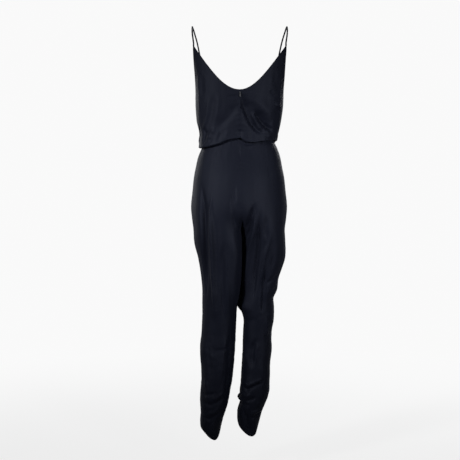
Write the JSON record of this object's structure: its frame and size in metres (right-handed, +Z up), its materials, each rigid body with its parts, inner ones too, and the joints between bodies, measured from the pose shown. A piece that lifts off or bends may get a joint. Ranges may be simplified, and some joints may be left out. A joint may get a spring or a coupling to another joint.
{
  "type": "jumpsuit",
  "caption": "Strappy one-piece jumpsuit in its worn, hollow shape: V-neck camisole top bloused over the waist, long slim legs, back zip.",
  "frame": {"origin": "midway between the undersides of the two straps, where the wearer's shoulders carry the garment", "axes": "+Z up, front of the garment towards -Y, back towards +Y, the wearer's left towards +X"},
  "size_m": [0.331, 0.2433, 1.4087],
  "materials": {
    "navy_crepe": "smooth crepe with a soft satin sheen",
    "navy_rouleau": "rolled crepe cord",
    "navy_zip_tape": "fine knitted zip tape",
    "zip_metal": "pale grey enamelled zip pull"
  },
  "bodies": {
    "garment": {"bodice_front": "navy_crepe", "bodice_back_left": "navy_crepe", "bodice_back_right": "navy_crepe", "strap_left": "navy_rouleau", "strap_right": "navy_rouleau", "trouser_front_left": "navy_crepe", "trouser_front_right": "navy_crepe", "trouser_back_left": "navy_crepe", "trouser_back_right": "navy_crepe", "zip_tape_left": "navy_zip_tape", "zip_tape_right": "navy_zip_tape", "zip_slider": "zip_metal"},
    "pull_tab": {"zip_pull": "zip_metal"}
  },
  "joints": [
    {"name": "pull_tab_swing", "type": "hinge", "parent": "garment", "child": "pull_tab", "pos_m": [-0.00061, 0.09948, -0.234], "axis": [1, 0, 0], "range_deg": [0, 165]}
  ]
}
